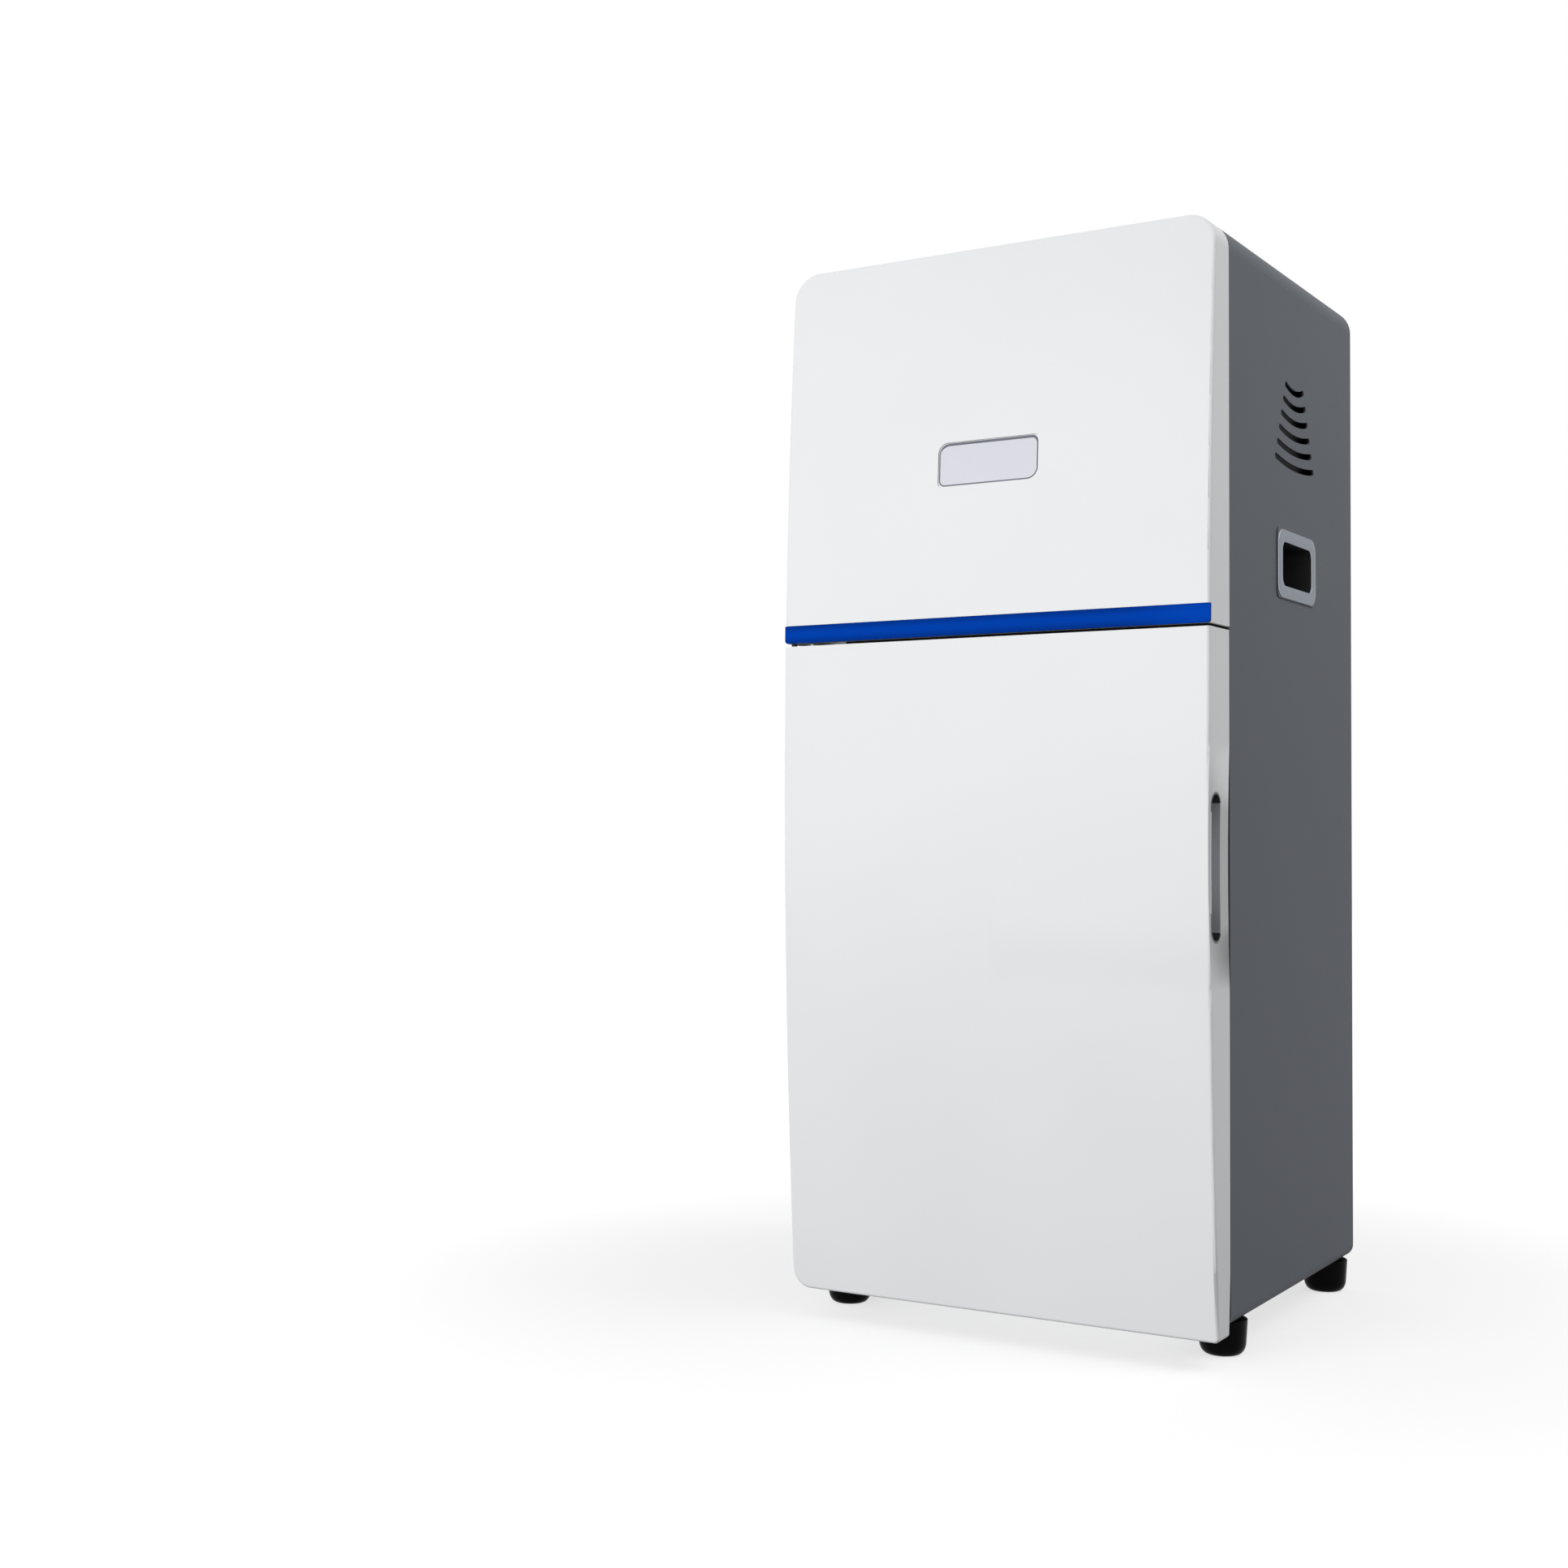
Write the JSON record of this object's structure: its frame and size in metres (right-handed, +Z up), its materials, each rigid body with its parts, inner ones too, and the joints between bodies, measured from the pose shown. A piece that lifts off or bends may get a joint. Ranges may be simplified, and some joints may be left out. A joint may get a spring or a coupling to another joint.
{
  "type": "chemiluminescence imaging cabinet",
  "caption": "Free-standing light-tight gel imager: bowed white door and head over a grey sheet shell, with camera, lens, filter wheel, tray and fans inside.",
  "frame": {"origin": "on the floor under the middle of the bounding box", "axes": "+Z up, -Y to the front (door side), +X to the right as seen from the front"},
  "size_m": [0.3436, 0.336, 0.8],
  "materials": {
    "grey_paint": "satin mid-grey powder coat",
    "white_front": "smooth cool-white moulded plastic",
    "blue_trim": "glossy strong blue strip",
    "window_plastic": "pale lavender diffusing plastic",
    "black_plastic": "black moulded plastic",
    "foot_plastic": "glossy black plastic",
    "silver_bezel": "satin silver rim",
    "grip_grey": "grey plastic",
    "seal_rubber": "soft black rubber",
    "zinc_steel": "zinc-plated steel",
    "black_steel": "matt black paint inside the light-tight chamber",
    "black_screw": "black-oxide screws",
    "rail_steel": "bent stainless strip",
    "tray_paint": "matt black tray",
    "diffuser": "opal diffuser",
    "anodised_black": "black anodised",
    "wheel_aluminium": "dark anodised gear wheel",
    "filter_glass": "coloured filter glass",
    "lens_glass": "coated lens glass",
    "brass": "turned brass",
    "bush_plastic": "acetal",
    "camera_paint": "dark camera housing",
    "sink_aluminium": "plain extruded aluminium",
    "bridge_steel": "zinc-plated sheet steel",
    "supply_steel": "perforated supply case",
    "board_green": "printed circuit board",
    "motor_steel": "motor with dark laminated body",
    "port_steel": "plated socket shell",
    "magnet": "ferrite magnet in black block"
  },
  "bodies": {
    "cabinet": {"outer_shell": "grey_paint", "vent_screens": "black_steel", "base_plate": "zinc_steel", "feet": "foot_plastic", "foot_fasteners": "zinc_steel", "rear_panel": "grey_paint", "rear_screws": "black_screw", "front_frame": "black_steel", "upper_front_panel": "white_front", "blue_trim_strip": "blue_trim", "status_window": "window_plastic", "status_light_board": "board_green", "hinge_bracket_bottom": "zinc_steel", "hinge_bracket_top": "zinc_steel", "hinge_bracket_screws": "black_screw", "magnet_catch": "magnet", "chamber_left_wall": "black_steel", "chamber_right_wall": "black_steel", "chamber_back_wall": "black_steel", "chamber_floor": "black_steel", "camera_deck": "zinc_steel", "lens_collar": "anodised_black", "tray_rails": "rail_steel", "led_bars": "anodised_black", "led_diffusers": "diffuser", "wheel_axle": "rail_steel", "motor_bracket": "bridge_steel", "wheel_motor": "motor_steel", "lens_barrel": "anodised_black", "lens_glass": "lens_glass", "camera_bridge": "bridge_steel", "camera_body": "camera_paint", "heat_sink": "sink_aluminium", "camera_fan_frame": "black_plastic", "power_supply": "supply_steel", "controller_board": "board_green", "usb_port": "port_steel", "power_inlet": "black_plastic", "exhaust_fan_frame": "black_plastic", "fan_guard": "black_screw", "handle_cups": "black_plastic", "handle_bezels": "silver_bezel", "service_plate": "grey_paint"},
    "door": {"door_skin": "white_front", "door_inner_panel": "black_steel", "door_seal": "seal_rubber", "grip_insert": "grip_grey", "hinge_bushes": "bush_plastic", "door_buffer": "seal_rubber", "strike_plate": "rail_steel"},
    "sample_tray": {"sample_tray": "tray_paint"},
    "filter_wheel": {"filter_wheel": "wheel_aluminium", "filters": "filter_glass"},
    "drive_pinion": {"drive_pinion": "brass", "motor_shaft": "rail_steel"},
    "iris_ring": {"iris_ring": "anodised_black"},
    "focus_ring": {"focus_ring": "seal_rubber"},
    "camera_fan": {"camera_fan_rotor": "black_plastic"},
    "exhaust_fan": {"exhaust_fan_rotor": "black_plastic"},
    "power_rocker": {"power_rocker": "black_plastic"}
  },
  "joints": [
    {"name": "door_hinge", "type": "hinge", "parent": "cabinet", "child": "door", "pos_m": [-0.159, -0.141, 0.265], "axis": [0, 0, -1], "range_deg": [0, 98]},
    {"name": "tray_slide", "type": "slide", "parent": "cabinet", "child": "sample_tray", "axis": [0, -1, 0], "range_m": [0, 0.022]},
    {"name": "filter_wheel_spin", "type": "hinge", "parent": "cabinet", "child": "filter_wheel", "pos_m": [0.057, 0.005, 0.517], "axis": [0, 0, 1], "continuous": true},
    {"name": "pinion_spin", "type": "hinge", "parent": "cabinet", "child": "drive_pinion", "pos_m": [0.057, 0.115, 0.517], "axis": [0, 0, 1], "continuous": true},
    {"name": "iris_turn", "type": "hinge", "parent": "cabinet", "child": "iris_ring", "pos_m": [0, 0.005, 0.545], "axis": [0, 0, 1], "range_deg": [0, 60]},
    {"name": "focus_turn", "type": "hinge", "parent": "cabinet", "child": "focus_ring", "pos_m": [0, 0.005, 0.565], "axis": [0, 0, 1], "range_deg": [0, 120]},
    {"name": "camera_fan_spin", "type": "hinge", "parent": "cabinet", "child": "camera_fan", "pos_m": [0, 0.005, 0.725], "axis": [0, 0, 1], "continuous": true},
    {"name": "exhaust_fan_spin", "type": "hinge", "parent": "cabinet", "child": "exhaust_fan", "pos_m": [0.082, 0.151, 0.69], "axis": [0, 1, 0], "continuous": true},
    {"name": "rocker_tip", "type": "hinge", "parent": "cabinet", "child": "power_rocker", "pos_m": [-0.112, 0.1628, 0.561], "axis": [-1, 0, 0], "range_deg": [0, 16]}
  ],
  "couplings": [
    {"joint": "pinion_spin", "follows": "filter_wheel_spin", "ratio": -4}
  ]
}
